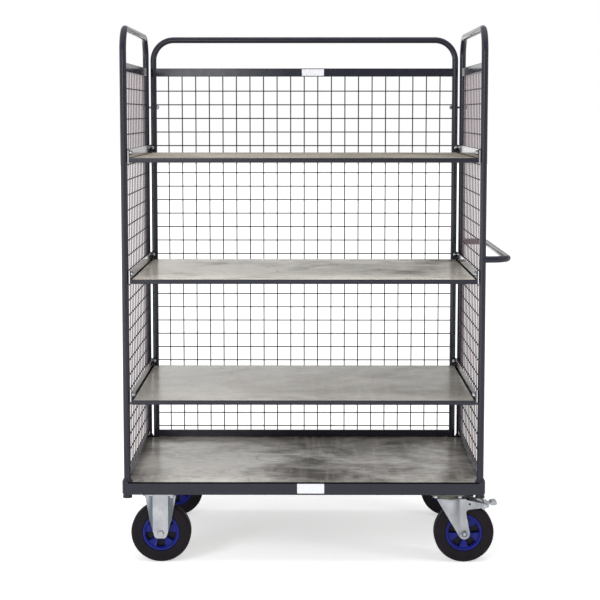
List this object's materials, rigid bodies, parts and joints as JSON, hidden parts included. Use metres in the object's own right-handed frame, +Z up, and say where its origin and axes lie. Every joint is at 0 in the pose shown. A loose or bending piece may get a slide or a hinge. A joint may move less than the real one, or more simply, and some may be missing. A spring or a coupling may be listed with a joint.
{
  "type": "distribution trolley",
  "caption": "Three-sided shelf trolley with mesh panels in tube hoops, fixed board shelves, a push handle at one end, and fixed and braked swivel castors.",
  "frame": {"origin": "on the floor under the middle of the bounding box, which runs from the left end of the base to the push handle", "axes": "+X along the trolley towards the push handle, +Y from the open front to the back panel, +Z up"},
  "size_m": [1.282, 0.75, 1.78],
  "materials": {
    "frame_paint": "gloss powder coat, dark blue-grey",
    "mesh_paint": "gloss powder coat on wire",
    "deck_face": "grey sealed board, semi-gloss, smeared",
    "shelf_face": "grey sealed board, semi-gloss, smeared",
    "castor_zinc": "bright zinc plate",
    "fastener_zinc": "bright zinc plate",
    "bearing_steel": "oiled steel",
    "tyre": "black rubber, matt",
    "wheel_plastic": "moulded plastic, blue"
  },
  "bodies": {
    "chassis": {"back_hoop": "frame_paint", "back_mesh": "mesh_paint", "base_cross_channels": "frame_paint", "base_end_rails": "frame_paint", "base_front_rail": "frame_paint", "base_rear_rail": "frame_paint", "castor_bolts": "fastener_zinc", "castor_nuts": "fastener_zinc", "corner_sockets": "frame_paint", "deck_board": "deck_face", "deck_screws": "fastener_zinc", "end_meshes": "mesh_paint", "front_left_fork": "castor_zinc", "hoop_bolts": "fastener_zinc", "hoop_bottom_bars": "frame_paint", "hoop_nuts": "fastener_zinc", "hoop_top_bars": "frame_paint", "left_axle_bolts": "fastener_zinc", "left_axle_nuts": "fastener_zinc", "left_axle_spacers": "fastener_zinc", "left_end_hoop": "frame_paint", "lower_shelf_board": "shelf_face", "lower_shelf_frame": "frame_paint", "middle_shelf_board": "shelf_face", "middle_shelf_frame": "frame_paint", "push_handle": "frame_paint", "rear_left_fork": "castor_zinc", "right_end_hoop": "frame_paint", "shelf_bolts": "fastener_zinc", "shelf_end_plates": "frame_paint", "shelf_rear_lugs": "frame_paint", "swivel_balls": "bearing_steel", "swivel_king_pins": "castor_zinc", "swivel_top_plates": "castor_zinc", "top_shelf_board": "shelf_face", "top_shelf_frame": "frame_paint"},
    "front_left_wheel": {"front_left_tyre": "tyre", "front_left_wheel_centre": "wheel_plastic", "front_left_roller_bearing": "bearing_steel"},
    "front_right_wheel": {"front_right_tyre": "tyre", "front_right_wheel_centre": "wheel_plastic", "front_right_roller_bearing": "bearing_steel"},
    "front_right_castor": {"front_right_fork": "castor_zinc", "front_right_pedal_pin": "castor_zinc", "front_right_axle_bolt": "fastener_zinc", "front_right_axle_nut": "fastener_zinc", "front_right_axle_spacer": "fastener_zinc"},
    "front_right_pedal": {"front_right_brake_pedal": "castor_zinc"},
    "rear_left_wheel": {"rear_left_tyre": "tyre", "rear_left_wheel_centre": "wheel_plastic", "rear_left_roller_bearing": "bearing_steel"},
    "rear_right_wheel": {"rear_right_tyre": "tyre", "rear_right_wheel_centre": "wheel_plastic", "rear_right_roller_bearing": "bearing_steel"},
    "rear_right_castor": {"rear_right_fork": "castor_zinc", "rear_right_pedal_pin": "castor_zinc", "rear_right_axle_bolt": "fastener_zinc", "rear_right_axle_nut": "fastener_zinc", "rear_right_axle_spacer": "fastener_zinc"},
    "rear_right_pedal": {"rear_right_brake_pedal": "castor_zinc"}
  },
  "joints": [
    {"name": "front_left_wheel_spin", "type": "hinge", "parent": "chassis", "child": "front_left_wheel", "pos_m": [-0.51805, -0.3, 0.1], "axis": [0, 1, 0], "continuous": true},
    {"name": "front_right_swivel", "type": "hinge", "parent": "chassis", "child": "front_right_castor", "pos_m": [0.43595, -0.3, 0.221], "axis": [0, 0, 1], "continuous": true},
    {"name": "front_right_wheel_spin", "type": "hinge", "parent": "front_right_castor", "child": "front_right_wheel", "pos_m": [0.49395, -0.3, 0.1], "axis": [0, 1, 0], "continuous": true},
    {"name": "front_right_brake", "type": "hinge", "parent": "front_right_castor", "child": "front_right_pedal", "pos_m": [0.56295, -0.3, 0.195], "axis": [0, 1, 0], "range_deg": [0, 15]},
    {"name": "rear_left_wheel_spin", "type": "hinge", "parent": "chassis", "child": "rear_left_wheel", "pos_m": [-0.51805, 0.3, 0.1], "axis": [0, 1, 0], "continuous": true},
    {"name": "rear_right_swivel", "type": "hinge", "parent": "chassis", "child": "rear_right_castor", "pos_m": [0.43595, 0.3, 0.221], "axis": [0, 0, 1], "continuous": true},
    {"name": "rear_right_wheel_spin", "type": "hinge", "parent": "rear_right_castor", "child": "rear_right_wheel", "pos_m": [0.49395, 0.3, 0.1], "axis": [0, 1, 0], "continuous": true},
    {"name": "rear_right_brake", "type": "hinge", "parent": "rear_right_castor", "child": "rear_right_pedal", "pos_m": [0.56295, 0.3, 0.195], "axis": [0, 1, 0], "range_deg": [0, 15]}
  ]
}
